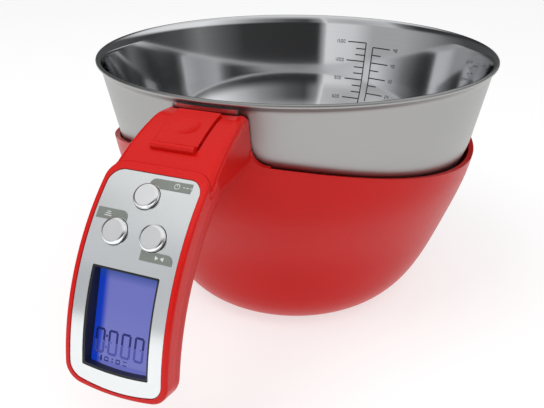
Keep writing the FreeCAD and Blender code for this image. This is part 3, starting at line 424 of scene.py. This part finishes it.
# ---- display ---------------------------------------------------------------------------------
# Places across and up the screen from its middle.
DIGIT_PLACES = (-0.0100, -0.0045, 0.0010, 0.0065)
DIGIT_WIDTH = 0.0041
DIGIT_HEIGHT = 0.0094
DIGIT_LINE = 0.00085
DIGIT_LEVEL = -0.0092
COLON_PLACE = -0.0073
COLON_RISE = 0.0021
COLON_DOT = (0.0007, 0.0009)


def screen_matrix(x, y):
    return stand_on(display_angle(), GLASS_RADIUS, x, y)


def screen_bars(bm, keys):
    bars = segments(DIGIT_WIDTH, DIGIT_HEIGHT, DIGIT_LINE)
    for place in DIGIT_PLACES:
        for key in keys:
            bar(bm, screen_matrix(place, DIGIT_LEVEL), *bars[key])


def upper_digits(bm):
    screen_bars(bm, "abf")
    bar(bm, screen_matrix(COLON_PLACE, DIGIT_LEVEL), 0, COLON_RISE, *COLON_DOT)


def lower_digits(bm):
    screen_bars(bm, "cde")
    bar(bm, screen_matrix(COLON_PLACE, DIGIT_LEVEL), 0, -COLON_RISE, *COLON_DOT)
    for i in range(9):
        bar(bm, screen_matrix(-0.0128 + i * 0.0025, DIGIT_LEVEL), 0, 0, 0.0008, 0.00035)


def screen_marks(bm):
    """Row of small plain indicators under the digits."""
    row = screen_matrix(-0.0058, -0.0156)
    bar(bm, row, -0.0030, 0, 0.0006, 0.0019)
    for x in (-0.0007, 0.0042):
        numeral(bm, row @ Matrix.Translation((x, 0, 0)), "0", 0.0018, 0.0017, 0.00035, 0)
    bar(bm, row, 0.0018, 0.0005, 0.0006, 0.0004)
    bar(bm, row, 0.0018, -0.0005, 0.0006, 0.0004)
    bar(bm, row, 0.0071, 0.0007, 0.0016, 0.0003)
    bar(bm, row, 0.0071, -0.0007, 0.0016, 0.0003)


# ---- signs on the tags -------------------------------------------------------------------------
TAG_TOP = FASCIA_RADIUS + 0.00025


def tag_matrix(x, length):
    return stand_on(angle_at(length), TAG_TOP, x)


def tag_signs(bm):
    """A ring with a stroke, three lines, and two wedges: plain signs with no words."""
    first = tag_matrix(0.0095, 0.00075)
    ring(bm, first, 0.0009, 0.00022)
    bar(bm, first, 0, 0.0006, 0.00025, 0.0011)
    for i in range(3):
        bar(bm, first, 0.0028 + i * 0.0014, 0, 0.0008, 0.0003)
    second = tag_matrix(-0.0132, 0.01535)
    for i in range(3):
        bar(bm, second, 0, (i - 1) * 0.00075, 0.0030 - i * 0.0007, 0.00028)
    third = tag_matrix(0.0118, 0.0274)
    for side in (-1, 1):
        turn = Matrix.Rotation(math.radians(90 * side), 4, "Z")
        shift = Matrix.Translation((side * 0.0012, 0, INK / 2))
        bmesh.ops.create_cone(bm, cap_ends=True, segments=3, radius1=0.0009, radius2=0.0009,
                              depth=INK, matrix=third @ shift @ turn)


def ring(bm, matrix, radius, line):
    """Flat ring, turned from one bar of its section."""
    verts = [bm.verts.new(matrix @ Vector((radius + dx, 0, dz)))
             for dx, dz in ((0, 0), (line, 0), (line, INK), (0, INK))]
    face = bm.faces.new(verts)
    axis = matrix.to_3x3() @ Vector((0, 0, 1))
    bmesh.ops.spin(bm, geom=[face] + list(face.edges) + verts, cent=matrix.translation, axis=axis,
                   angle=2 * math.pi, steps=28, use_merge=True, use_duplicate=False)


# ---- stage ---------------------------------------------------------------------------------
def plane(name, size, matrix, mat):
    bm = bmesh.new()
    bmesh.ops.create_grid(bm, x_segments=1, y_segments=1, size=size)
    bm.transform(matrix)
    mesh = bpy.data.meshes.new(name)
    bm.to_mesh(mesh)
    bm.free()
    mesh.materials.append(mat)
    obj = bpy.data.objects.new(name, mesh)
    bpy.context.scene.collection.objects.link(obj)


def lamp(name, place, aim, size, power):
    data = bpy.data.lights.new(name, "AREA")
    data.energy = power
    data.size = size
    obj = bpy.data.objects.new(name, data)
    obj.location = place
    obj.rotation_euler = (Vector(aim) - Vector(place)).to_track_quat("-Z", "Y").to_euler()
    obj.visible_glossy = False
    bpy.context.scene.collection.objects.link(obj)


# Brightness of the surroundings by the turn from +Y toward +X, in degrees: near the horizon,
# and a little above it.
LOW_BANDS = ((-180, 0.85), (-162, 0.75), (-148, 0.46), (-125, 0.46), (-105, 0.32), (-88, 0.16), (-70, 0.08),
             (20, 0.09), (50, 0.06), (76, 0.10), (90, 0.22), (108, 0.11), (122, 0.045), (174, 0.035),
             (179, 0.60), (180, 0.85))
MIDDLE_BANDS = ((-180, 0.60), (-160, 0.50), (-132, 0.62), (-122, 0.20), (-110, 0.05), (-14, 0.035), (6, 0.20),
                (28, 0.85), (90, 1.00), (112, 0.62), (130, 0.32), (152, 0.12), (166, 0.07), (176, 0.30),
                (180, 0.60))
OVERHEAD = 0.80


def band_ramp(tree, turn, bands):
    ramp = tree.nodes.new("ShaderNodeValToRGB")
    stops = ramp.color_ramp.elements
    for index, (degrees, value) in enumerate(bands):
        at = (degrees + 180) / 360
        stop = stops[0] if index == 0 else stops.new(at)
        stop.position = at
        stop.color = (value, value, value * 1.02, 1.0)
    stops.remove(stops[len(stops) - 1])
    tree.links.new(turn, ramp.inputs["Fac"])
    return ramp.outputs["Color"]


def layer(tree, height, start, end, below, above):
    """Mix of two layers of the surroundings over a span of heights."""
    span = tree.nodes.new("ShaderNodeMapRange")
    span.interpolation_type = "SMOOTHSTEP"
    span.inputs["From Min"].default_value = math.sin(math.radians(start))
    span.inputs["From Max"].default_value = math.sin(math.radians(end))
    tree.links.new(height, span.inputs["Value"])
    mix = tree.nodes.new("ShaderNodeMix")
    mix.data_type = "RGBA"
    tree.links.new(span.outputs["Result"], mix.inputs["Factor"])
    tree.links.new(below, mix.inputs["A"])
    if above:
        tree.links.new(above, mix.inputs["B"])
    else:
        mix.inputs["B"].default_value = (OVERHEAD, OVERHEAD, OVERHEAD, 1.0)
    return mix.outputs["Result"]


def studio_world():
    """Soft bright and dark bands round the object, with an even light overhead."""
    world = bpy.data.worlds.new("studio")
    world.use_nodes = True
    tree = world.node_tree
    coords = tree.nodes.new("ShaderNodeTexCoord")
    split = tree.nodes.new("ShaderNodeSeparateXYZ")
    tree.links.new(coords.outputs["Generated"], split.inputs["Vector"])
    turn = tree.nodes.new("ShaderNodeMath")
    turn.operation = "ARCTAN2"
    tree.links.new(split.outputs["X"], turn.inputs[0])
    tree.links.new(split.outputs["Y"], turn.inputs[1])
    share = tree.nodes.new("ShaderNodeMapRange")
    share.inputs["From Min"].default_value = -math.pi
    share.inputs["From Max"].default_value = math.pi
    tree.links.new(turn.outputs[0], share.inputs["Value"])
    low = band_ramp(tree, share.outputs["Result"], LOW_BANDS)
    middle = band_ramp(tree, share.outputs["Result"], MIDDLE_BANDS)
    lower = layer(tree, split.outputs["Z"], 15, 26, low, middle)
    whole = layer(tree, split.outputs["Z"], 34, 58, lower, None)
    tree.links.new(whole, tree.nodes["Background"].inputs["Color"])
    bpy.context.scene.world = world


def set_stage():
    mat, shader = finish("pale_floor", (0.44, 0.44, 0.44), 0.7)
    shader.inputs["Specular IOR Level"].default_value = 0.0
    shader.inputs["Emission Color"].default_value = (1.0, 1.0, 1.0, 1.0)
    shader.inputs["Emission Strength"].default_value = 0.64
    plane("floor", 6.0, Matrix.Identity(4), mat)
    studio_world()
    lamp("key", (-0.30, -0.60, 1.2), (0, 0, 0.08), 0.7, 5.0)
    lamp("fill", (0.55, -0.75, 1.0), (0, 0, 0.06), 0.6, 4.0)
    bpy.context.scene.view_settings.view_transform = "Standard"


def set_camera():
    """Camera a little above the rim, to the right of the handle."""
    data = bpy.data.cameras.new("camera")
    data.lens = 46.3
    data.sensor_width = 36.0
    obj = bpy.data.objects.new("camera", data)
    obj.location = (0.1304, -0.3331, 0.2074)
    obj.rotation_euler = Vector((-0.360, 0.834, -0.419)).to_track_quat("-Z", "Y").to_euler()
    bpy.context.scene.collection.objects.link(obj)
    bpy.context.scene.camera = obj


# ---- putting it together ---------------------------------------------------------------------
def recolour(node, mat):
    obj = nodes[node]
    for index in range(len(obj.material_slots)):
        obj.material_slots[index].material = mat


def dress_nodes():
    red = red_moulding("red_base", (0.56, 0.006, 0.004), 0.34)
    gloss = red_moulding("red_handle", (0.62, 0.008, 0.006), 0.26)
    black = plain_moulding("black_plastic", (0.035, 0.035, 0.038), 0.5)
    chrome = bright_metal("button_plating", (0.96, 0.97, 0.98), 0.10)
    screws = bright_metal("screw_steel", (0.55, 0.55, 0.56), 0.3)
    boards = plain_moulding("green_board", (0.02, 0.14, 0.06), 0.4, 700.0)
    looks = {
        "outer_shell": red, "handle_front": gloss, "latch_button": gloss,
        "fascia": silver_paint("fascia_silver"),
        "label_tags": plain_moulding("tag_grey", (0.215, 0.235, 0.21), 0.45, 2500.0),
        "zero_button": chrome, "mode_button": chrome, "unit_button": chrome,
        "lcd_glass": lit_display("display_blue"),
        "lcd_frame": plain_moulding("frame_black", (0.012, 0.013, 0.016), 0.45),
        "bowl_bracket": spun_steel("bracket_steel", (0.62, 0.62, 0.63), 0.34, 0.1),
        "base_cover": black, "battery_cap": black, "battery_roof": black, "platform": black,
        "latch_hook": black, "tact_switches": black,
        "rubber_feet": plain_moulding("foot_rubber", (0.05, 0.05, 0.05), 0.8, 1200.0),
        "cover_screws": screws, "handle_screws": screws, "load_cell_screws": screws,
        "platform_screws": screws, "latch_spring": screws,
        "load_cell": bright_metal("cell_aluminium", (0.75, 0.76, 0.78), 0.35),
        "coin_cell": bright_metal("cell_can", (0.7, 0.7, 0.7), 0.2),
        "battery_contacts": bright_metal("contact_brass", (0.78, 0.58, 0.28), 0.25),
        "main_board": boards, "button_board": boards,
        "flex_cable": plain_moulding("flex_film", (0.45, 0.2, 0.04), 0.3, 500.0),
        "zebra_strip": plain_moulding("zebra_rubber", (0.1, 0.1, 0.11), 0.6),
        "lcd_backlight": plain_moulding("light_guide", (0.8, 0.84, 0.9), 0.3),
    }
    for node, mat in looks.items():
        recolour(node, mat)


set_camera()
set_stage()
dress_nodes()
outer_steel = spun_steel("satin_steel", (0.40, 0.40, 0.395), 0.38, 0.08)
inner_steel = spun_steel("polished_steel", (0.72, 0.73, 0.74), 0.08, 0.0)
bowl = piece("steel_bowl", shape_bowl, "bowl", "steel_bowl", outer_steel, inner_steel)
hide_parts("bowl")
mark_ink = printed("mark_ink", (0.03, 0.03, 0.035))
navy = printed("segment_navy", (0.004, 0.010, 0.16))
pale = printed("segment_pale", (0.07, 0.085, 0.42))
white = printed("sign_white", (0.72, 0.74, 0.72))
piece("volume_marks", volume_marks, "bowl", None, mark_ink)
piece("volume_numbers", volume_numbers, "bowl", None, mark_ink)
piece("display_upper", upper_digits, "scale_base", None, navy)
piece("display_lower", lower_digits, "scale_base", None, pale)
piece("display_signs", screen_marks, "scale_base", None, navy)
piece("tag_signs", tag_signs, "scale_base", None, white)
